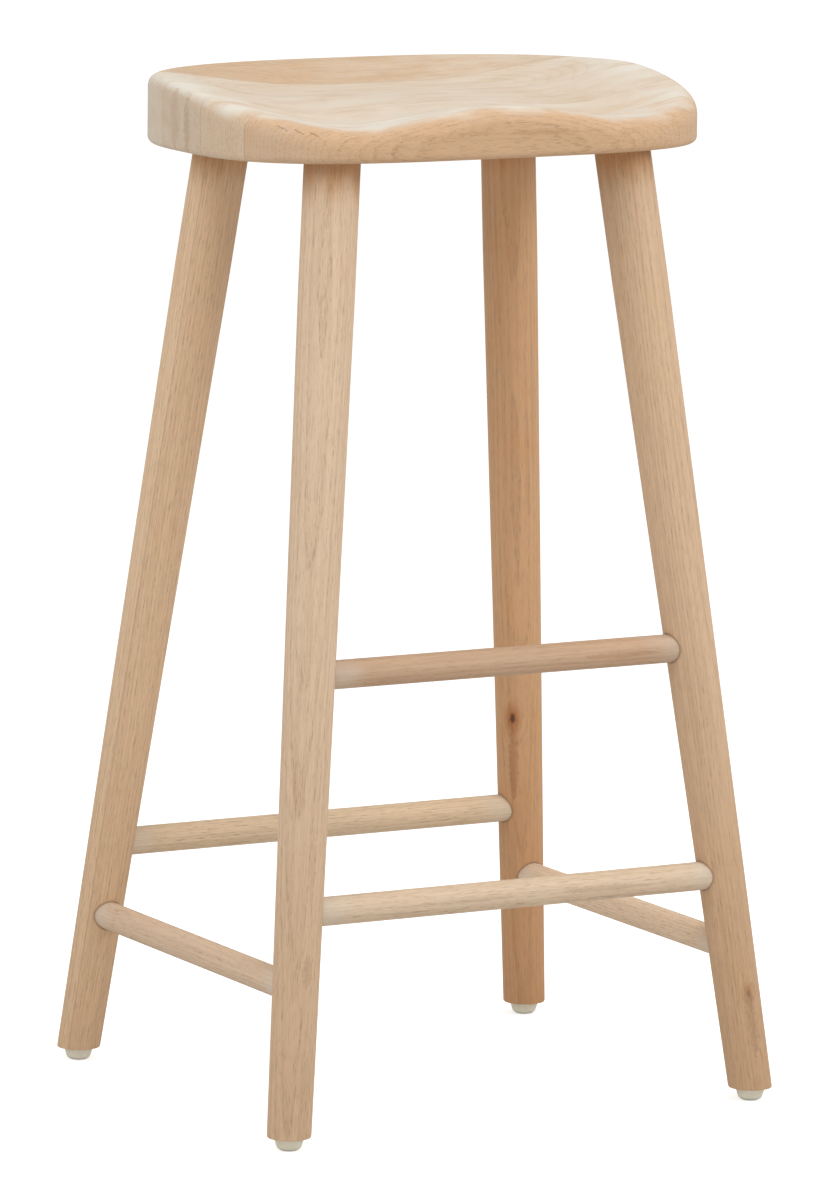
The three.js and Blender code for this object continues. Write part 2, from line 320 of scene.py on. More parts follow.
def finish_mesh(piece, smooth_angle=30):
    """Merges doubles, turns every face outwards and smooths all but the sharp edges."""
    pick(piece)
    bpy.ops.object.mode_set(mode="EDIT")
    bpy.ops.mesh.select_all(action="SELECT")
    bpy.ops.mesh.remove_doubles(threshold=0.000002)
    bpy.ops.mesh.normals_make_consistent(inside=False)
    bpy.ops.object.mode_set(mode="OBJECT")
    bpy.ops.object.shade_smooth_by_angle(angle=math.radians(smooth_angle))


# The legs' tenons enter the seat along the legs' own axes, so the legs' places come first.
LEG_SPLAY_X = math.radians(6)
LEG_SPLAY_Y = math.radians(7)
TENON_RADIUS = 0.014
TENON_LENGTH = 0.014
FIT_GAP = 0.0002
FOOT_GAP = 0.0003
TENON_END_GAP = 0.0005
LEG_NAMES = ["front_left", "front_right", "back_left", "back_right"]


def leg_foot(name):
    """The middle of the leg's lower end, on top of its glide."""
    low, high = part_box("glide_" + name)
    return Vector(((low.x + high.x) / 2, (low.y + high.y) / 2, high.z + FOOT_GAP))


def leg_rise(name):
    """How far the leg's axis moves for each metre of height, as a vector with z = 1."""
    foot = leg_foot(name)
    across = -math.copysign(math.tan(LEG_SPLAY_X), foot.x)
    along = -math.copysign(math.tan(LEG_SPLAY_Y), foot.y)
    return Vector((across, along, 1))


def leg_axis_at(name, height):
    foot = leg_foot(name)
    return foot + leg_rise(name) * (height - foot.z)


rings = seat_ring_places()
deselect_all()
bpy.ops.mesh.primitive_uv_sphere_add(segments=SEAT_SECTORS, ring_count=len(rings) - 1, radius=1)
seat_board = bpy.context.object
for vertex in seat_board.data.vertices:
    level = round((1 - math.acos(max(-1, min(1, vertex.co.z))) / math.pi) * (len(rings) - 1))
    vertex.co = carved_point(rings[level], math.atan2(vertex.co.y, vertex.co.x))
finish_mesh(seat_board)
for name in LEG_NAMES:
    entry = leg_axis_at(name, seat_low.z)
    rise = leg_rise(name).normalized()
    bore(seat_board, entry - rise * 0.02, rise, TENON_RADIUS + FIT_GAP, TENON_LENGTH + 0.021)

# Oak is one solid pattern that every oak piece is cut from. Its grain runs along local Z, round a
# pith that lies beside the piece: rings, open pores, ray flecks and slow changes of tone.
def add_node(tree, kind, inputs=None, **settings):
    made = tree.nodes.new("ShaderNode" + kind)
    for name, value in settings.items():
        setattr(made, name, value)
    for socket, value in (inputs or {}).items():
        if isinstance(value, bpy.types.NodeSocket):
            tree.links.new(value, made.inputs[socket])
        else:
            made.inputs[socket].default_value = value
    return made


def math_of(tree, operation, first, second=0.0):
    return add_node(tree, "Math", {0: first, 1: second}, operation=operation).outputs[0]


def scaled(tree, vector, factors):
    made = add_node(tree, "VectorMath", {0: vector, 1: factors}, operation="MULTIPLY")
    return made.outputs["Vector"]


def noise_of(tree, vector, detail, roughness=0.5):
    return add_node(
        tree, "TexNoise", {"Vector": vector, "Scale": 1, "Detail": detail, "Roughness": roughness}
    )


def ramp_of(tree, value, low, high, to_low=0.0, to_high=1.0):
    return add_node(
        tree,
        "MapRange",
        {"Value": value, "From Min": low, "From Max": high, "To Min": to_low, "To Max": to_high},
        interpolation_type="SMOOTHSTEP",
    ).outputs["Result"]


def mix_of(tree, factor, first, second, blend="MIX"):
    made = add_node(tree, "Mix", {0: factor, 6: first, 7: second}, data_type="RGBA")
    made.blend_type = blend
    return made.outputs[2]


def new_group(name, inputs, outputs):
    """An empty shader node group, with its input node and its output node."""
    group = bpy.data.node_groups.new(name, "ShaderNodeTree")
    for socket, kind in inputs:
        group.interface.new_socket(socket, in_out="INPUT", socket_type="NodeSocket" + kind)
    for socket, kind in outputs:
        group.interface.new_socket(socket, in_out="OUTPUT", socket_type="NodeSocket" + kind)
    return group, group.nodes.new("NodeGroupInput"), group.nodes.new("NodeGroupOutput")


def build_oak_board():
    group, start, end = new_group(
        "oak_board",
        [
            ("Grain Place", "Vector"),
            ("Pith Place", "Vector"),
            ("Ring Width", "Float"),
            ("Waver", "Float"),
            ("Ring Bend", "Float"),
            ("Figure", "Float"),
            ("Pore Strength", "Float"),
            ("Lime", "Float"),
            ("Pale Color", "Color"),
            ("Ring Color", "Color"),
            ("Pore Color", "Color"),
            ("Lime Color", "Color"),
        ],
        [("Color", "Color"), ("Roughness", "Float"), ("Height", "Float")],
    )
    place = start.outputs["Grain Place"]
    # slow wander of the rings, which draws cathedral arches where the cut runs along them
    wander = noise_of(group, scaled(group, place, (5.5, 5.5, 1.7)), 1.0).outputs["Color"]
    centred = add_node(
        group, "VectorMath", {0: wander, 1: (0.5, 0.5, 0.5)}, operation="SUBTRACT"
    ).outputs["Vector"]
    waver = add_node(
        group, "VectorMath", {0: centred, "Scale": start.outputs["Waver"]}, operation="SCALE"
    ).outputs["Vector"]
    moved = add_node(group, "VectorMath", {0: place, 1: waver}, operation="ADD").outputs["Vector"]
    from_pith = add_node(
        group, "VectorMath", {0: moved, 1: start.outputs["Pith Place"]}, operation="SUBTRACT"
    ).outputs["Vector"]
    flat = scaled(group, from_pith, (1, 1, 0))
    radius = add_node(group, "VectorMath", {0: flat}, operation="LENGTH").outputs["Value"]
    ripple = noise_of(group, scaled(group, place, (75, 75, 10)), 2.0).outputs["Fac"]
    ripple_shift = math_of(group, "MULTIPLY", math_of(group, "SUBTRACT", ripple, 0.5), 0.0022)
    rippled = math_of(group, "ADD", radius, ripple_shift)
    bent = math_of(group, "ADD", rippled, start.outputs["Ring Bend"])
    count = math_of(group, "DIVIDE", bent, start.outputs["Ring Width"])
    phase = math_of(group, "FRACT", count)
    year = add_node(
        group, "TexWhiteNoise", {"W": math_of(group, "FLOOR", count)}, noise_dimensions="1D"
    ).outputs["Value"]
    ring_ramp = add_node(group, "ValToRGB", {"Fac": phase})
    ring_ramp.color_ramp.elements[0].position = 0.0
    ring_ramp.color_ramp.elements[0].color = (0.75, 0.75, 0.75, 1)
    ring_ramp.color_ramp.elements[1].position = 1.0
    ring_ramp.color_ramp.elements[1].color = (0.3, 0.3, 0.3, 1)
    for position, level in ((0.08, 1.0), (0.26, 0.5), (0.5, 0.12), (0.95, 0.05)):
        ring_ramp.color_ramp.elements.new(position).color = (level, level, level, 1)
    early = ring_ramp.outputs["Color"]
    ring_mask = math_of(group, "MULTIPLY", early, ramp_of(group, year, 0.0, 1.0, 0.4, 1.0))
    # pores: long thin vessels, most of them in each ring's early wood
    vessel = noise_of(group, scaled(group, place, (1450, 1450, 105)), 2.0, 0.6).outputs["Fac"]
    vessel_mask = ramp_of(group, vessel, 0.53, 0.64)
    pore_share = ramp_of(group, early, 0.0, 1.0, 0.45, 1.0)
    pores = math_of(group, "MULTIPLY", vessel_mask, pore_share)
    # rays: thin plates that stand out from the pith, dashes on one face and flecks on the other
    parts = add_node(group, "SeparateXYZ", {0: from_pith})
    around = math_of(
        group, "MULTIPLY", math_of(group, "ARCTAN2", parts.outputs["Y"], parts.outputs["X"]), 95.0
    )
    ray_place = add_node(
        group,
        "CombineXYZ",
        {
            "X": math_of(group, "MULTIPLY", radius, 28.0),
            "Y": around,
            "Z": math_of(group, "MULTIPLY", parts.outputs["Z"], 60.0),
        },
    ).outputs[0]
    rays = ramp_of(group, noise_of(group, ray_place, 1.5).outputs["Fac"], 0.58, 0.72)
    # tone: slow streaks and cloudy patches of the surface
    streak = noise_of(group, scaled(group, place, (400, 400, 7)), 2.0).outputs["Fac"]
    cloud = noise_of(group, scaled(group, place, (19, 19, 6)), 2.0).outputs["Fac"]
    figure = start.outputs["Figure"]
    body = mix_of(
        group,
        math_of(group, "MULTIPLY", ring_mask, figure),
        start.outputs["Pale Color"],
        start.outputs["Ring Color"],
    )
    streaked = mix_of(
        group,
        math_of(
            group,
            "MULTIPLY",
            ramp_of(group, streak, 0.44, 0.64),
            math_of(group, "MULTIPLY", figure, 0.5),
        ),
        body,
        start.outputs["Ring Color"],
    )
    clouded = mix_of(
        group,
        math_of(group, "MULTIPLY", ramp_of(group, cloud, 0.40, 0.66), 0.30),
        streaked,
        start.outputs["Pale Color"],
    )
    rayed = mix_of(
        group, math_of(group, "MULTIPLY", rays, 0.22), clouded, start.outputs["Ring Color"]
    )
    bare = ramp_of(group, start.outputs["Lime"], 0.1, 0.7, 1.0, 0.25)
    pored = mix_of(
        group,
        math_of(
            group,
            "MULTIPLY",
            math_of(group, "MULTIPLY", pores, bare),
            start.outputs["Pore Strength"],
        ),
        rayed,
        start.outputs["Pore Color"],
    )
    # lime: white pigment left in patches by the finish
    patch = noise_of(group, scaled(group, place, (60, 60, 22)), 3.0, 0.6).outputs["Fac"]
    cover = ramp_of(group, patch, 0.25, 0.6, 0.55, 1.0)
    patchy = math_of(group, "MULTIPLY", start.outputs["Lime"], cover)
    limed = mix_of(group, patchy, pored, start.outputs["Lime Color"])
    group.links.new(limed, end.inputs["Color"])
    rough = ramp_of(group, cloud, 0.3, 0.7, 0.56, 0.66)
    rough = math_of(group, "ADD", rough, math_of(group, "MULTIPLY", pores, 0.12))
    group.links.new(rough, end.inputs["Roughness"])
    height = math_of(group, "MULTIPLY", pores, -1.0)
    height = math_of(group, "ADD", height, math_of(group, "MULTIPLY", ring_mask, -0.25))
    group.links.new(height, end.inputs["Height"])
    return group


oak_board = build_oak_board()

LIME_COLOR = (0.70, 0.65, 0.565, 1)
OAK_BUMP = 0.35
OAK_BUMP_DISTANCE = 0.0004
OAK_SPECULAR = 0.3
PORE_COLOR = (0.36, 0.22, 0.12, 1)
LIME_ON_ALL = 0.12


def oak_material(
    name, origin, grain_along, pith, ring_width=0.0022, waver=0.009, figure=0.95,
    pore_strength=0.75, pale=(0.70, 0.52, 0.35, 1), ring=(0.56, 0.37, 0.22, 1),
):
    """A limed oak finish for one board, with its grain along grain_along and its place from origin.
    Returns the material, its board node and its tree, for what only this board shows."""
    material = bpy.data.materials.new(name)
    material.use_nodes = True
    tree = material.node_tree
    shader = tree.nodes["Principled BSDF"]
    coordinates = add_node(tree, "TexCoord")
    turn = up.rotation_difference(Vector(grain_along)).to_euler()
    placed = add_node(
        tree,
        "Mapping",
        {"Vector": coordinates.outputs["Object"], "Location": origin, "Rotation": turn},
        vector_type="TEXTURE",
    )
    board = tree.nodes.new("ShaderNodeGroup")
    board.node_tree = oak_board
    tree.links.new(placed.outputs["Vector"], board.inputs["Grain Place"])
    for socket, value in (
        ("Pith Place", pith),
        ("Ring Width", ring_width),
        ("Waver", waver),
        ("Ring Bend", 0),
        ("Figure", figure),
        ("Pore Strength", pore_strength),
        ("Lime", LIME_ON_ALL),
        ("Pale Color", pale),
        ("Ring Color", ring),
        ("Pore Color", PORE_COLOR),
        ("Lime Color", LIME_COLOR),
    ):
        board.inputs[socket].default_value = value
    bump = add_node(
        tree,
        "Bump",
        {"Height": board.outputs["Height"], "Strength": OAK_BUMP, "Distance": OAK_BUMP_DISTANCE},
    )
    tree.links.new(board.outputs["Color"], shader.inputs["Base Color"])
    tree.links.new(board.outputs["Roughness"], shader.inputs["Roughness"])
    tree.links.new(bump.outputs["Normal"], shader.inputs["Normal"])
    shader.inputs["Specular IOR Level"].default_value = OAK_SPECULAR
    return material, board, placed, tree


def lime_and_light_the_seat(board, tree, left_share, right_share):
    """Lime pigment on the end grain at the seat's sides and in its hollow top, with painted light
    laid over it: faces turned up or back come out paler and faces turned to the front darker, the
    way the light falls, so it thins out softly over the front edge. The shares are those of the
    top's left and right, and carry painted light too."""
    coordinates = add_node(tree, "TexCoord")
    normal = add_node(tree, "SeparateXYZ", {0: coordinates.outputs["Normal"]})
    place = add_node(tree, "SeparateXYZ", {0: coordinates.outputs["Object"]})
    across = math_of(tree, "ABSOLUTE", normal.outputs["X"])
    ends = ramp_of(tree, across, 0.12, 0.75, 0.0, 0.42)
    # Painted light: the end grain comes out paler where it faces back towards the lights.
    backwards = ramp_of(tree, normal.outputs["Y"], -0.25, 0.30, 0.40, 1.3)
    ends = math_of(tree, "MULTIPLY", ends, backwards)
    share = ramp_of(tree, place.outputs["X"], -0.10, 0.13, left_share, right_share)
    rim = ramp_of(tree, math_of(tree, "ABSOLUTE", place.outputs["X"]), 0.14, 0.19, 0.0, 0.42)
    share = math_of(tree, "ADD", share, rim)
    # Painted light: on the top, faces turned up and back are paler and faces turned to the front
    # darker.
    brush = noise_of(tree, scaled(tree, coordinates.outputs["Object"], (22, 60, 60)), 2.0)
    smear = ramp_of(tree, brush.outputs["Fac"], 0.25, 0.75, -0.28, 0.28)
    facing = math_of(tree, "ADD", normal.outputs["Y"], smear)
    level = math_of(tree, "MULTIPLY", ramp_of(tree, facing, -0.85, 0.10, 0.05, 1.0), share)
    top = math_of(tree, "MULTIPLY", level, ramp_of(tree, normal.outputs["Z"], 0.0, 0.95))
    # lime pigment together with painted light
    lime = math_of(tree, "ADD", math_of(tree, "MAXIMUM", ends, top), 0.05)
    tree.links.new(lime, board.inputs["Lime"])


def darken_joints(board, tree, joints):
    """A hair-thin darker glue line on each side of the stave."""
    across = add_node(tree, "SeparateXYZ", {0: add_node(tree, "TexCoord").outputs["Object"]})
    colour = board.outputs["Color"]
    for joint in joints:
        away = math_of(
            tree, "ABSOLUTE", math_of(tree, "SUBTRACT", across.outputs["Y"], joint)
        )
        line = ramp_of(tree, away, 0.0001, 0.0005, 0.42, 0.0)
        colour = mix_of(tree, line, colour, (0.30, 0.19, 0.11, 1))
    return colour


def build_wood_mark():
    """A ragged mark, tapering to both ends of a line: a drying check, a streak or a stain."""
    group, start, end = new_group(
        "wood_mark",
        [
            ("Place", "Vector"),
            ("From", "Vector"),
            ("To", "Vector"),
            ("Half Width", "Float"),
            ("Raggedness", "Float"),
        ],
        [("Mask", "Float")],
    )

    def vector_of(operation, first, second, output="Vector"):
        made = add_node(group, "VectorMath", {0: first, 1: second}, operation=operation)
        return made.outputs[output]

    place = start.outputs["Place"]
    rough = noise_of(group, scaled(group, place, (330, 330, 330)), 2.0).outputs["Color"]
    shift = vector_of("SUBTRACT", rough, (0.5, 0.5, 0.5))
    shift = add_node(
        group, "VectorMath", {0: shift, "Scale": start.outputs["Raggedness"]}, operation="SCALE"
    ).outputs["Vector"]
    run = vector_of("SUBTRACT", start.outputs["To"], start.outputs["From"])
    off = vector_of("SUBTRACT", vector_of("ADD", place, shift), start.outputs["From"])
    share = math_of(
        group,
        "DIVIDE",
        vector_of("DOT_PRODUCT", off, run, "Value"),
        vector_of("DOT_PRODUCT", run, run, "Value"),
    )
    share = add_node(group, "Clamp", {0: share}).outputs[0]
    nearest = add_node(group, "VectorMath", {0: run, "Scale": share}, operation="SCALE")
    away = add_node(
        group,
        "VectorMath",
        {0: vector_of("SUBTRACT", off, nearest.outputs["Vector"])},
        operation="LENGTH",
    ).outputs["Value"]
    rest = math_of(group, "SUBTRACT", 1.0, share)
    taper = math_of(group, "POWER", math_of(group, "MULTIPLY", share, rest), 0.5)
    doubled = math_of(group, "MULTIPLY", taper, 2.0)
    width = math_of(group, "MULTIPLY", start.outputs["Half Width"], doubled)
    width = math_of(group, "ADD", width, 0.00005)
    mask = ramp_of(group, math_of(group, "DIVIDE", away, width), 0.2, 1.0, 1.0, 0.0)
    group.links.new(mask, end.inputs["Mask"])
    return group


wood_mark = build_wood_mark()


def lay_mark(tree, colour, start, end, half_width, raggedness, strength, tint):
    """Lays one mark over a colour, between two places in the stool's frame."""
    mark = tree.nodes.new("ShaderNodeGroup")
    mark.node_tree = wood_mark
    tree.links.new(add_node(tree, "TexCoord").outputs["Object"], mark.inputs["Place"])
    mark.inputs["From"].default_value = start
    mark.inputs["To"].default_value = end
    mark.inputs["Half Width"].default_value = half_width
    mark.inputs["Raggedness"].default_value = raggedness
    factor = math_of(tree, "MULTIPLY", mark.outputs["Mask"], strength)
    return mix_of(tree, factor, colour, tint)


CHECK_TINT = (0.17, 0.10, 0.06, 1)
HEARTWOOD_TINT = (0.42, 0.27, 0.165, 1)
BROWN_TINT = (0.44, 0.245, 0.115, 1)

CHECK_LENGTH = 0.012
CHECK_SPACING = 0.01
CHECK_RUN = Vector((1, -2, -1))
CHECK_LOOK = (0.001, 0.002, 0.5, CHECK_TINT)
BROWN_LENGTH = 0.08
BROWN_LOOK = (0.003, 0.004, 0.36, BROWN_TINT)


def on_surface(piece, place):
    """The point of a piece's surface that is nearest to a rough place."""
    evaluated = bpy.context.evaluated_depsgraph_get()
    return piece.closest_point_on_mesh(place, depsgraph=evaluated)[1]


def mark_between(piece, tree, colour, start, end, *look):
    return lay_mark(tree, colour, on_surface(piece, start), on_surface(piece, end), *look)


def check_front_stave(stave, tree, colour):
    """Three drying checks over the left front corner, and brown streaks along the front face."""
    low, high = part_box("seat_stave_1_front")
    middle = (low + high) / 2
    corner = Vector((low.x, middle.y, high.z))
    for step in range(3):
        start = corner + Vector((step + 1, -step, 0)) * CHECK_SPACING
        end = start + CHECK_RUN.normalized() * CHECK_LENGTH
        colour = mark_between(stave, tree, colour, start, end, *CHECK_LOOK)
    for share in (0.25, 0.5, 0.75):
        start = Vector((low.x + share * (high.x - low.x), low.y, middle.z))
        end = start + Vector((BROWN_LENGTH, 0, 0))
        colour = mark_between(stave, tree, colour, start, end, *BROWN_LOOK)
    return colour


def streak_middle_stave(stave, tree, colour):
    """Two streaks of heartwood cross the left end from top to bottom, at thirds of its width."""
    low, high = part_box("seat_stave_3")
    for share, half_width, strength in ((1 / 3, 0.0075, 0.55), (2 / 3, 0.011, 0.32)):
        start = Vector((low.x, low.y + share * (high.y - low.y), high.z))
        end = Vector((start.x, start.y, low.z))
        look = (half_width, 0.007, strength, HEARTWOOD_TINT)
        colour = mark_between(stave, tree, colour, start, end, *look)
    return colour


STAVE_MARKS = {"seat_stave_1_front": check_front_stave, "seat_stave_3": streak_middle_stave}

# name: pith beside the stave (down, back), shift along the grain, lime with painted light on the
# top's left and right, and the stave's own colours
STAVE_WOOD = {
    "seat_stave_1_front": dict(
        pith=(0.03, 0.32, 0), shift=0.31, top_lime_and_light=(0.95, 0.84),
        pale=(0.63, 0.395, 0.225, 1), ring=(0.44, 0.25, 0.12, 1),
        waver=0.004, figure=0.38, pore_strength=0.75,
    ),
    "seat_stave_2": dict(
        pith=(0.05, 0.14, 0), shift=1.27, figure=0.8, top_lime_and_light=(0.66, 0.66),
        pale=(0.65, 0.46, 0.30, 1), ring=(0.50, 0.33, 0.19, 1),
    ),
    "seat_stave_3": dict(
        pith=(0.04, -0.13, 0), shift=2.12, figure=0.8, top_lime_and_light=(0.60, 0.55),
        pale=(0.62, 0.455, 0.31, 1), ring=(0.48, 0.315, 0.185, 1),
    ),
    "seat_stave_4": dict(
        pith=(0.130, 0.06, 0), shift=3.43, top_lime_and_light=(0.46, 0.48),
        pale=(0.64, 0.48, 0.33, 1), ring=(0.51, 0.35, 0.22, 1),
    ),
    "seat_stave_5_back": dict(
        pith=(0.070, -0.09, 0), shift=4.05, top_lime_and_light=(0.15, 0.50),
        pale=(0.60, 0.395, 0.23, 1), ring=(0.455, 0.28, 0.14, 1),
    ),
}
edges = [None] + stave_joints + [None]
for i, node in enumerate(STAVES):
    stave = copy_of(seat_board, "oak_" + node)
    if edges[i] is not None:
        saw(stave, (0, edges[i], 0), (0, -1, 0))
    if edges[i + 1] is not None:
        saw(stave, (0, edges[i + 1], 0), (0, 1, 0))
    finish_mesh(stave)
    wood = dict(STAVE_WOOD[node])
    origin = (-wood.pop("shift"), 0, seat_high.z)
    top_lime_and_light = wood.pop("top_lime_and_light")
    material, board, _, tree = oak_material("limed_" + node, origin, (1, 0, 0), **wood)
    # lime pigment with painted light on the seat's faces
    lime_and_light_the_seat(board, tree, *top_lime_and_light)
    colour = darken_joints(board, tree, [edge for edge in edges[i : i + 2] if edge is not None])
    if node in STAVE_MARKS:
        colour = STAVE_MARKS[node](stave, tree, colour)
    tree.links.new(colour, tree.nodes["Principled BSDF"].inputs["Base Color"])
    stave.data.materials.clear()
    stave.data.materials.append(material)
    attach(stave, "root")
    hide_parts(node)
drop(seat_board)

# ---------------------------------------------------------------------------------------------
# The legs are turned oak spindles, straight under the seat and then tapering to the floor. A round
# tenon holds each in the seat, its foot is sawn level, and blind bores take the stretchers.
LEG_TOP_RADIUS = 0.0205
LEG_FOOT_RADIUS = 0.016
LEG_STRAIGHT_LENGTH = 0.098
LEG_FACETS = 96
FOOT_CHAMFER = 0.0012
STRETCHER_SHORT_OF_AXIS = 0.002

LEG_WOOD = {
    "front_left": dict(
        pith=(0.035, 0.045, 0), shift=5.1, pale=(0.76, 0.55, 0.37, 1), ring=(0.60, 0.40, 0.24, 1),
        waver=0.03, figure=0.75,
    ),
    "front_right": dict(
        pith=(-0.05, 0.06, 0), shift=6.4, pale=(0.70, 0.47, 0.287, 1), ring=(0.53, 0.32, 0.17, 1),
        waver=0.02, figure=0.75,
    ),
    "back_left": dict(
        pith=(0.07, -0.05, 0), shift=7.2, pale=(0.785, 0.545, 0.34, 1), ring=(0.60, 0.375, 0.20, 1),
        waver=0.02, figure=0.75,
    ),
    "back_right": dict(
        pith=(0.03, 0.05, 0), shift=8.6, pale=(0.68, 0.375, 0.172, 1), ring=(0.47, 0.228, 0.09, 1),
        waver=0.025, figure=0.55,
    ),
}


def dowel_bores(name):
    """(height, direction) of each stretcher that enters this leg, the direction leading away."""
    foot = leg_foot(name)
    inwards_x = Vector((-math.copysign(1, foot.x), 0, 0))
    inwards_y = Vector((0, -math.copysign(1, foot.y), 0))
    heights = {node: (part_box(node)[0].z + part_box(node)[1].z) / 2 for node in STRETCHERS}
    side = "stretcher_left" if foot.x < 0 else "stretcher_right"
    bores = [(heights[side], inwards_y)]
    if foot.y < 0:
        bores.append((heights["footrest_front_upper"], inwards_x))
        bores.append((heights["stretcher_front_lower"], inwards_x))
    else:
        bores.append((heights["stretcher_back"], inwards_x))
    return bores


STRETCHERS = [
    "footrest_front_upper",
    "stretcher_front_lower",
    "stretcher_back",
    "stretcher_left",
    "stretcher_right",
]
stretcher_low, stretcher_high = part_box("stretcher_back")
STRETCHER_RADIUS = (stretcher_high.z - stretcher_low.z) / 2


def choose_faces(piece, test):
    """Opens the piece for editing with only the faces selected whose normal passes the test."""
    pick(piece)
    bpy.ops.object.mode_set(mode="EDIT")
    bpy.ops.mesh.select_all(action="DESELECT")
    bpy.ops.object.mode_set(mode="OBJECT")
    for face in piece.data.polygons:
        face.select = test(face.normal)
    bpy.ops.object.mode_set(mode="EDIT")


LEG_SPARE = 0.02
leg_stretch = leg_rise(LEG_NAMES[0]).length
leg_length = (seat_low.z - leg_foot(LEG_NAMES[0]).z) * leg_stretch
leg_taper = leg_length - LEG_STRAIGHT_LENGTH
leg_spare_shrink = (LEG_TOP_RADIUS - LEG_FOOT_RADIUS) / leg_taper * LEG_SPARE
deselect_all()
bpy.ops.mesh.primitive_cone_add(
    vertices=LEG_FACETS,
    radius1=LEG_FOOT_RADIUS - leg_spare_shrink,
    radius2=LEG_TOP_RADIUS,
    depth=leg_taper + LEG_SPARE,
    location=(0, 0, (leg_taper - LEG_SPARE) / 2),
)
leg_blank = bpy.context.object
bpy.ops.object.transform_apply(location=True, rotation=True, scale=True)
choose_faces(leg_blank, lambda normal: normal.z > 0.9)
bpy.ops.mesh.extrude_region_move(
    TRANSFORM_OT_translate={"value": (0, 0, LEG_STRAIGHT_LENGTH + LEG_SPARE)}
)
deselect_all()


def turn_leg(name):
    """A leg from a copy of the blank: leaned, sawn level at both ends, tenoned and bored."""
    foot, rise = leg_foot(name), leg_rise(name)
    leg = copy_of(leg_blank, "oak_leg_" + name)
    leg.location = foot
    leg.rotation_euler = up.rotation_difference(rise).to_euler()
    pick(leg)
    bpy.ops.object.transform_apply(location=True, rotation=True, scale=True)
    saw(leg, (0, 0, seat_low.z - FIT_GAP), (0, 0, 1))
    saw(leg, foot, (0, 0, -1))
    choose_faces(leg, lambda normal: normal.z > 0.99)
    bpy.ops.mesh.inset(thickness=LEG_TOP_RADIUS - TENON_RADIUS)
    bpy.ops.mesh.extrude_region_move(
        TRANSFORM_OT_translate={"value": tuple(rise * (TENON_LENGTH - TENON_END_GAP))}
    )
    choose_faces(leg, lambda normal: normal.z < -0.99)
    bpy.ops.mesh.bevel(offset=FOOT_CHAMFER, segments=2, profile=0.6)
    bpy.ops.object.mode_set(mode="OBJECT")
    for height, away in dowel_bores(name):
        centre = leg_axis_at(name, height)
        start = centre + away * (STRETCHER_SHORT_OF_AXIS - FIT_GAP)
        bore(leg, start, away, STRETCHER_RADIUS + FIT_GAP, 0.06)
    finish_mesh(leg)
    return leg


def build_oak_knot():
    """A small branch knot: a dark core, and a bend that sends the rings round it."""
    group, start, end = new_group(
        "oak_knot",
        [("Grain Place", "Vector"), ("Knot Place", "Vector"), ("Knot Size", "Float")],
        [("Bend", "Float"), ("Halo", "Float"), ("Core", "Float")],
    )
    away = add_node(
        group,
        "VectorMath",
        {0: start.outputs["Grain Place"], 1: start.outputs["Knot Place"]},
        operation="SUBTRACT",
    ).outputs["Vector"]
    rough = noise_of(group, scaled(group, start.outputs["Grain Place"], (420, 420, 260)), 2.0)
    long = add_node(group, "VectorMath", {0: scaled(group, away, (1, 1, 0.55))}, operation="LENGTH")
    share = math_of(group, "DIVIDE", long.outputs["Value"], start.outputs["Knot Size"])
    share = math_of(group, "ADD", share, math_of(group, "MULTIPLY", rough.outputs["Fac"], 0.5))
    near = ramp_of(group, share, 0.2, 3.6, 1.0, 0.0)
    push = math_of(group, "MULTIPLY", near, start.outputs["Knot Size"])
    bend = math_of(group, "MULTIPLY", push, 1.1)
    group.links.new(ramp_of(group, share, 0.6, 2.3, 1.0, 0.0), end.inputs["Halo"])
    group.links.new(ramp_of(group, share, 0.45, 0.95, 1.0, 0.0), end.inputs["Core"])
    group.links.new(bend, end.inputs["Bend"])
    return group


oak_knot = build_oak_knot()


def grow_knot(board, placed, tree, colour, at, size, strength):
    knot = tree.nodes.new("ShaderNodeGroup")
    knot.node_tree = oak_knot
    tree.links.new(placed.outputs["Vector"], knot.inputs["Grain Place"])
    knot.inputs["Knot Place"].default_value = at
    knot.inputs["Knot Size"].default_value = size
    bend = knot.outputs["Bend"]
    if board.inputs["Ring Bend"].is_linked:
        bend = math_of(tree, "ADD", board.inputs["Ring Bend"].links[0].from_socket, bend)
    tree.links.new(bend, board.inputs["Ring Bend"])
    halo = math_of(tree, "MULTIPLY", knot.outputs["Halo"], strength)
    colour = mix_of(tree, halo, colour, (0.72, 0.50, 0.36, 1), blend="MULTIPLY")
    core = math_of(tree, "MULTIPLY", knot.outputs["Core"], strength)
    return mix_of(tree, core, colour, (0.13, 0.055, 0.03, 1))


GLUE_NORMAL = (-0.558, 0.83, 0)
GLUED_HALF_SHIFT = (0.013, 0.021, 0.37)


def glue_leg_halves(board, placed, tree, colour, glue_normal):
    """This leg is glued from two halves: their figures differ and a thin dark line parts them."""
    place = placed.outputs["Vector"]
    side = add_node(tree, "VectorMath", {0: place, 1: glue_normal}, operation="DOT_PRODUCT")
    side = side.outputs["Value"]
    half = math_of(tree, "GREATER_THAN", side, 0.0)
    shift = add_node(
        tree, "VectorMath", {0: GLUED_HALF_SHIFT, "Scale": half}, operation="SCALE"
    )
    moved = add_node(
        tree, "VectorMath", {0: place, 1: shift.outputs["Vector"]}, operation="ADD"
    ).outputs["Vector"]
    tree.links.new(moved, board.inputs["Grain Place"])
    tone = math_of(tree, "MULTIPLY", math_of(tree, "SUBTRACT", 1.0, half), 0.3)
    colour = mix_of(tree, tone, colour, (0.86, 0.78, 0.70, 1), blend="MULTIPLY")
    line = ramp_of(tree, math_of(tree, "ABSOLUTE", side), 0.0002, 0.0009, 0.3, 0.0)
    return mix_of(tree, line, colour, (0.30, 0.18, 0.09, 1))


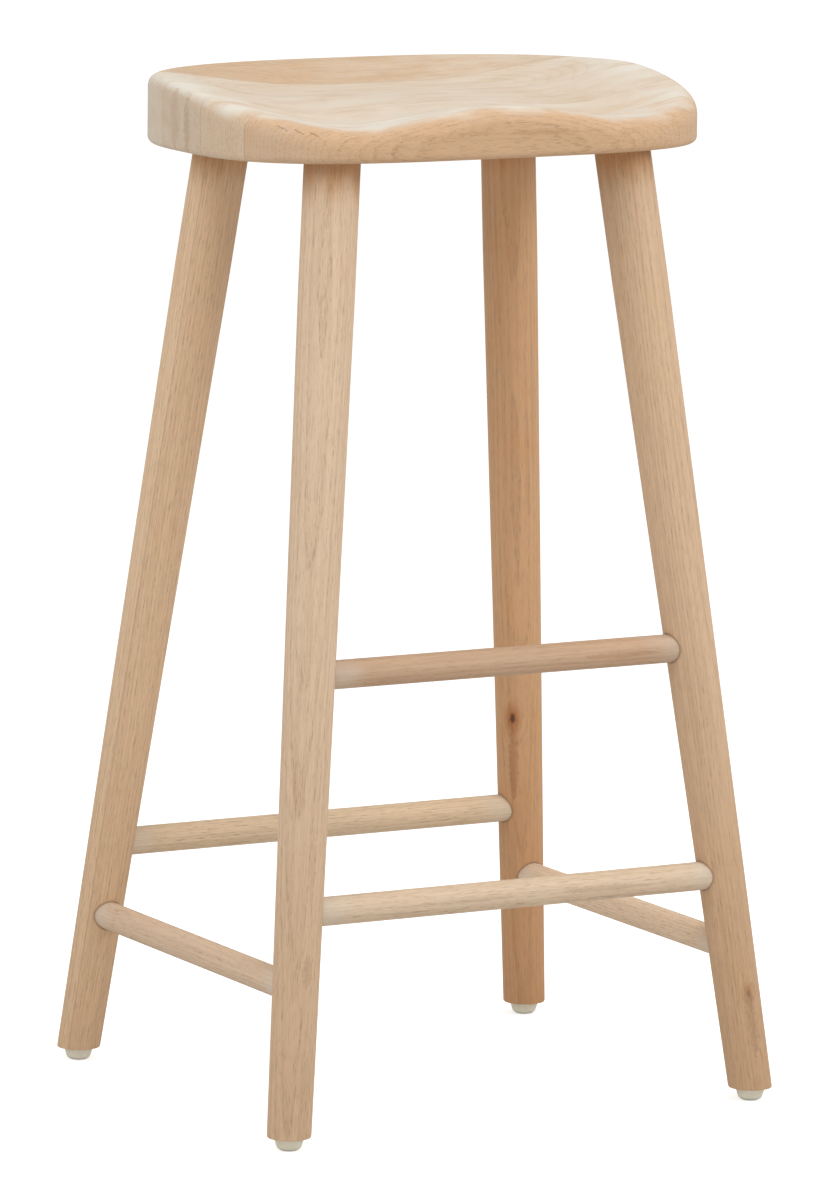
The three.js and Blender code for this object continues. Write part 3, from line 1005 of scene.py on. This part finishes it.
def shade_round_the_bores(tree, colour, name):
    """Painted shade: a dark ring on the leg in the tight corner round each dowel, where shade
    falls.
    """
    parts = add_node(tree, "SeparateXYZ", {0: add_node(tree, "TexCoord").outputs["Object"]})
    for height, away in dowel_bores(name):
        centre = leg_axis_at(name, height)
        run, cross = ("X", "Y") if abs(away.x) > 0.5 else ("Y", "X")
        axis = centre.y if cross == "Y" else centre.x
        begin = centre.x if run == "X" else centre.y
        level = math_of(tree, "SUBTRACT", parts.outputs["Z"], height)
        aside = math_of(tree, "SUBTRACT", parts.outputs[cross], axis)
        out = add_node(tree, "CombineXYZ", {"X": level, "Y": aside}).outputs[0]
        out = add_node(tree, "VectorMath", {0: out}, operation="LENGTH").outputs["Value"]
        rim = ramp_of(tree, out, STRETCHER_RADIUS + 0.0003, STRETCHER_RADIUS + 0.0022, 0.6, 0.0)
        sign = away.x if run == "X" else away.y
        inner = math_of(
            tree, "MULTIPLY", math_of(tree, "SUBTRACT", parts.outputs[run], begin), sign
        )
        rim = math_of(tree, "MULTIPLY", rim, math_of(tree, "GREATER_THAN", inner, 0.0))
        colour = mix_of(tree, rim, colour, (0.33, 0.20, 0.11, 1))
    return colour


def shade_towards_floor(placed, tree, colour, foot_run, depth):
    """Painted shade: the lower leg is a shade deeper towards the floor, where less light reaches
    it.
    """
    run = add_node(tree, "SeparateXYZ", {0: placed.outputs["Vector"]}).outputs["Z"]
    low = ramp_of(tree, run, foot_run, foot_run + 0.38, depth, 0.0)
    return mix_of(tree, low, colour, (0.78, 0.66, 0.54, 1), blend="MULTIPLY")


def paint_shade_under_seat(placed, tree, colour, top):
    """Painted shade: the leg is darker and warmer brown right under the seat, where the seat shades
    it.
    """
    place = placed.outputs["Vector"]
    run = add_node(tree, "SeparateXYZ", {0: place}).outputs["Z"]
    smear = noise_of(tree, scaled(tree, place, (120, 120, 12)), 2.0).outputs["Fac"]
    reach = math_of(tree, "ADD", run, math_of(tree, "MULTIPLY", smear, 0.03))
    near = ramp_of(tree, reach, top - 0.024, top + 0.012, 0.0, 0.95)
    return mix_of(tree, near, colour, (0.74, 0.55, 0.38, 1), blend="MULTIPLY")


TO_MIDDLE = Vector((-1, -1, 0))
TO_FRONT = Vector((0, -1, 0))
# leg: share of the height under the seat, the side it faces, size and strength of its knot
LEG_KNOTS = {
    "back_right": (1 / 3, TO_MIDDLE, 0.0046, 0.95),
    "front_right": (1 / 10, TO_FRONT, 0.0034, 0.5),
}
RESIN_TINT = (0.36, 0.15, 0.06, 1)
STAIN_TINT = (0.40, 0.26, 0.16, 1)
# leg: shares of that height from end to end, side, half width, raggedness, strength, tint
LEG_MARKS = {
    "back_right": [(1 / 3, 1 / 4, TO_MIDDLE, 0.0055, 0.006, 0.45, RESIN_TINT)],
    "front_right": [(1 / 8, 1 / 20, TO_FRONT, 0.006, 0.010, 0.42, STAIN_TINT)],
    "front_left": [
        (1 / 5, 1 / 6, TO_FRONT, 0.005, 0.008, 0.28, STAIN_TINT),
        (1 / 3, 1 / 4, TO_FRONT, 0.0035, 0.007, 0.22, STAIN_TINT),
    ],
}


def on_leg(leg, name, share, side):
    """A place on the leg's surface, at a share of the height under the seat, on one side."""
    axis = leg_axis_at(name, share * seat_low.z)
    return on_surface(leg, axis + side.normalized() * LEG_TOP_RADIUS)


# how deep the painted shade towards the floor is on each leg
LEG_FLOOR_SHADE = {"front_left": 0.55, "front_right": 0.6, "back_left": 0.30, "back_right": 0.5}


for name in LEG_NAMES:
    leg = turn_leg(name)
    wood = LEG_WOOD[name]
    material, board, placed, tree = oak_material(
        "limed_leg_" + name,
        leg_foot(name) - leg_rise(name) * wood["shift"],
        leg_rise(name),
        wood["pith"],
        pale=wood["pale"],
        ring=wood["ring"],
        waver=wood["waver"],
        ring_width=0.0024,
        figure=wood["figure"],
        pore_strength=0.6,
    )
    foot_run = wood["shift"] * leg_stretch
    top_run = foot_run + leg_length
    colour = board.outputs["Color"]
    if name == "back_left":
        colour = glue_leg_halves(board, placed, tree, colour, GLUE_NORMAL)
    if name in LEG_KNOTS:
        share, side, size, strength = LEG_KNOTS[name]
        height = share * seat_low.z
        out = on_leg(leg, name, share, side) - leg_axis_at(name, height)
        at = (out.x, out.y, foot_run + height * leg_stretch)
        colour = grow_knot(board, placed, tree, colour, at, size, strength)
    for upper, lower, side, *look in LEG_MARKS.get(name, []):
        start, end = on_leg(leg, name, upper, side), on_leg(leg, name, lower, side)
        colour = lay_mark(tree, colour, start, end, *look)
    # painted shade towards the floor
    colour = shade_towards_floor(placed, tree, colour, foot_run, LEG_FLOOR_SHADE[name])
    # painted shade under the seat
    colour = paint_shade_under_seat(placed, tree, colour, top_run)
    # painted shade round each dowel's entry
    colour = shade_round_the_bores(tree, colour, name)
    tree.links.new(colour, tree.nodes["Principled BSDF"].inputs["Base Color"])
    leg.data.materials.clear()
    leg.data.materials.append(material)
    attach(leg, "root")
    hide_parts("leg_" + name)
drop(leg_blank)

# ---------------------------------------------------------------------------------------------
# The stretchers and the footrest are plain oak dowels, let into the legs at their full diameter
# and glued. Their ends have kept more of the white finish than their middles.
DOWEL_FACETS = 64
DOWEL_CHAMFER = 0.0008
LIMED_END_LENGTH = 0.026

DOWEL_WOOD = {
    "footrest_front_upper": dict(
        pith=(0.02, 0.03, 0), shift=1.1, pale=(0.60, 0.385, 0.24, 1), ring=(0.45, 0.27, 0.155, 1)
    ),
    "stretcher_front_lower": dict(
        pith=(-0.03, 0.03, 0), shift=2.3, pale=(0.76, 0.58, 0.41, 1), ring=(0.64, 0.46, 0.29, 1)
    ),
    "stretcher_back": dict(
        pith=(0.03, -0.02, 0), shift=3.7, pale=(0.80, 0.605, 0.40, 1), ring=(0.65, 0.46, 0.285, 1)
    ),
    "stretcher_left": dict(
        pith=(0.03, 0.04, 0), shift=4.9, pale=(0.72, 0.52, 0.36, 1), ring=(0.59, 0.41, 0.27, 1)
    ),
    "stretcher_right": dict(
        pith=(-0.02, 0.04, 0), shift=5.5, pale=(0.84, 0.63, 0.44, 1), ring=(0.70, 0.50, 0.33, 1)
    ),
}
# dowel: shares of its length from end to end, half width, raggedness, strength, tint
DOWEL_MARKS = {
    "stretcher_front_lower": [
        (0.6, 0.8, 0.003, 0.003, 0.30, STAIN_TINT),
        (0.2, 0.5, 0.0025, 0.003, 0.20, STAIN_TINT),
    ],
    "footrest_front_upper": [(0.7, 0.9, 0.0035, 0.0035, 0.24, RESIN_TINT)],
}
for node in STRETCHERS:
    low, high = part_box(node)
    span = high - low
    middle = (low + high) / 2
    along = Vector((1, 0, 0)) if span.x > span.y else Vector((0, 1, 0))
    length = max(span.x, span.y)
    deselect_all()
    bpy.ops.mesh.primitive_cylinder_add(
        vertices=DOWEL_FACETS,
        radius=STRETCHER_RADIUS,
        depth=length,
        location=middle,
        rotation=up.rotation_difference(along).to_euler(),
    )
    dowel = bpy.context.object
    dowel.name = "oak_" + node
    dowel.data.name = dowel.name
    bpy.ops.object.transform_apply(location=True, rotation=True, scale=True)
    choose_faces(dowel, lambda normal: abs(normal.dot(along)) > 0.9)
    bpy.ops.mesh.bevel(offset=DOWEL_CHAMFER, segments=3)
    bpy.ops.object.mode_set(mode="OBJECT")
    finish_mesh(dowel)
    wood = DOWEL_WOOD[node]
    material, board, placed, tree = oak_material(
        "limed_" + node,
        middle - along * wood["shift"],
        along,
        wood["pith"],
        pale=wood["pale"],
        ring=wood["ring"],
        figure=0.8,
        pore_strength=0.6,
    )
    run = add_node(tree, "SeparateXYZ", {0: placed.outputs["Vector"]}).outputs["Z"]
    from_middle = math_of(tree, "ABSOLUTE", math_of(tree, "SUBTRACT", run, wood["shift"]))
    patch = noise_of(tree, scaled(tree, placed.outputs["Vector"], (45, 45, 30)), 2.0).outputs["Fac"]
    uneven = math_of(tree, "ADD", from_middle, math_of(tree, "MULTIPLY", patch, 0.03))
    limed_end = ramp_of(
        tree, uneven, length / 2 - LIMED_END_LENGTH, length / 2, 0.08, 0.42
    )
    tree.links.new(limed_end, board.inputs["Lime"])
    colour = board.outputs["Color"]
    for nearer, farther, *look in DOWEL_MARKS.get(node, []):
        start = Vector((low.x + nearer * span.x, low.y, middle.z))
        end = Vector((low.x + farther * span.x, low.y, middle.z))
        colour = lay_mark(tree, colour, start, end, *look)
    tree.links.new(colour, tree.nodes["Principled BSDF"].inputs["Base Color"])
    dowel.data.materials.clear()
    dowel.data.materials.append(material)
    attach(dowel, "root")
    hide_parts(node)

# ---------------------------------------------------------------------------------------------
# Each foot stands on a small moulded glide of milky plastic with a rounded lower edge, held by one
# steel nail whose head is sunk inside it.
GLIDE_FACETS = 48
GLIDE_BASE_RADIUS = 0.0082
GLIDE_EDGE_BEVEL = 0.0036
GLIDE_TOP_BEVEL = 0.0006
NAIL_SHANK_RADIUS = 0.0012
NAIL_HEAD_THICKNESS = 0.0011

glide_plastic = bpy.data.materials.new("milky_plastic")
glide_plastic.use_nodes = True
plastic_tree = glide_plastic.node_tree
plastic = plastic_tree.nodes["Principled BSDF"]
plastic_place = add_node(plastic_tree, "TexCoord").outputs["Object"]
plastic_cloud = noise_of(plastic_tree, scaled(plastic_tree, plastic_place, (260, 260, 260)), 3.0)
plastic_low = add_node(plastic_tree, "SeparateXYZ", {0: plastic_place}).outputs["Z"]
plastic_body = mix_of(
    plastic_tree, plastic_cloud.outputs["Fac"], (0.86, 0.82, 0.67, 1), (0.76, 0.72, 0.58, 1)
)
scuffed = mix_of(
    plastic_tree,
    ramp_of(plastic_tree, plastic_low, 0.0, 0.003, 0.25, 0.0),
    plastic_body,
    (0.42, 0.40, 0.35, 1),
)
plastic_tree.links.new(scuffed, plastic.inputs["Base Color"])
plastic_tree.links.new(
    ramp_of(plastic_tree, plastic_cloud.outputs["Fac"], 0.3, 0.7, 0.32, 0.48),
    plastic.inputs["Roughness"],
)
plastic.inputs["Subsurface Weight"].default_value = 0.25
plastic.inputs["Subsurface Radius"].default_value = (0.003, 0.003, 0.0025)
plastic.inputs["Subsurface Scale"].default_value = 1.0
# A faint painted glow keeps the plastic pale even in the leg's shadow.
plastic.inputs["Emission Color"].default_value = (1.0, 0.96, 0.84, 1)
plastic.inputs["Emission Strength"].default_value = 0.03

nail_steel = bpy.data.materials.new("zinc_plated_steel")
nail_steel.use_nodes = True
steel_tree = nail_steel.node_tree
steel = steel_tree.nodes["Principled BSDF"]
steel_place = add_node(steel_tree, "TexCoord").outputs["Object"]
steel_grain = noise_of(steel_tree, scaled(steel_tree, steel_place, (900, 900, 90)), 2.0)
steel_tree.links.new(
    mix_of(steel_tree, steel_grain.outputs["Fac"], (0.52, 0.53, 0.54, 1), (0.68, 0.68, 0.67, 1)),
    steel.inputs["Base Color"],
)
steel_tree.links.new(
    ramp_of(steel_tree, steel_grain.outputs["Fac"], 0.3, 0.7, 0.28, 0.42), steel.inputs["Roughness"]
)
steel.inputs["Metallic"].default_value = 1.0

low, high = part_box("glide_" + LEG_NAMES[0])
glide_middle = (low + high) / 2
nail_low, nail_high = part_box("glide_nail_" + LEG_NAMES[0])
deselect_all()
bpy.ops.mesh.primitive_cone_add(
    vertices=GLIDE_FACETS,
    radius1=GLIDE_BASE_RADIUS,
    radius2=(high.x - low.x) / 2,
    depth=high.z - low.z,
    location=glide_middle,
)
first_glide = bpy.context.object
bpy.ops.object.transform_apply(location=True, rotation=True, scale=True)
choose_faces(first_glide, lambda normal: normal.z < -0.9)
bpy.ops.mesh.bevel(offset=GLIDE_EDGE_BEVEL, segments=8)
choose_faces(first_glide, lambda normal: normal.z > 0.9)
bpy.ops.mesh.bevel(offset=GLIDE_TOP_BEVEL, segments=3)
bpy.ops.object.mode_set(mode="OBJECT")
head_low = Vector((glide_middle.x, glide_middle.y, nail_low.z - FIT_GAP))
head_radius = (nail_high.x - nail_low.x) / 2 + FIT_GAP
bore(first_glide, head_low, up, NAIL_SHANK_RADIUS + FIT_GAP, 0.012)
bore(first_glide, head_low, up, head_radius, NAIL_HEAD_THICKNESS + 2 * FIT_GAP)
finish_mesh(first_glide)

for name in LEG_NAMES:
    low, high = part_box("glide_" + name)
    glide = copy_of(first_glide, "milky_glide_" + name)
    glide.location = (low + high) / 2 - glide_middle
    pick(glide)
    bpy.ops.object.transform_apply(location=True, rotation=True, scale=True)
    glide.data.materials.clear()
    glide.data.materials.append(glide_plastic)
    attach(glide, "root")
    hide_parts("glide_" + name)
    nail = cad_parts["glide_nail_" + name]
    nail.data.materials.clear()
    nail.data.materials.append(nail_steel)
drop(first_glide)

deselect_all()
low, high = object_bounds()
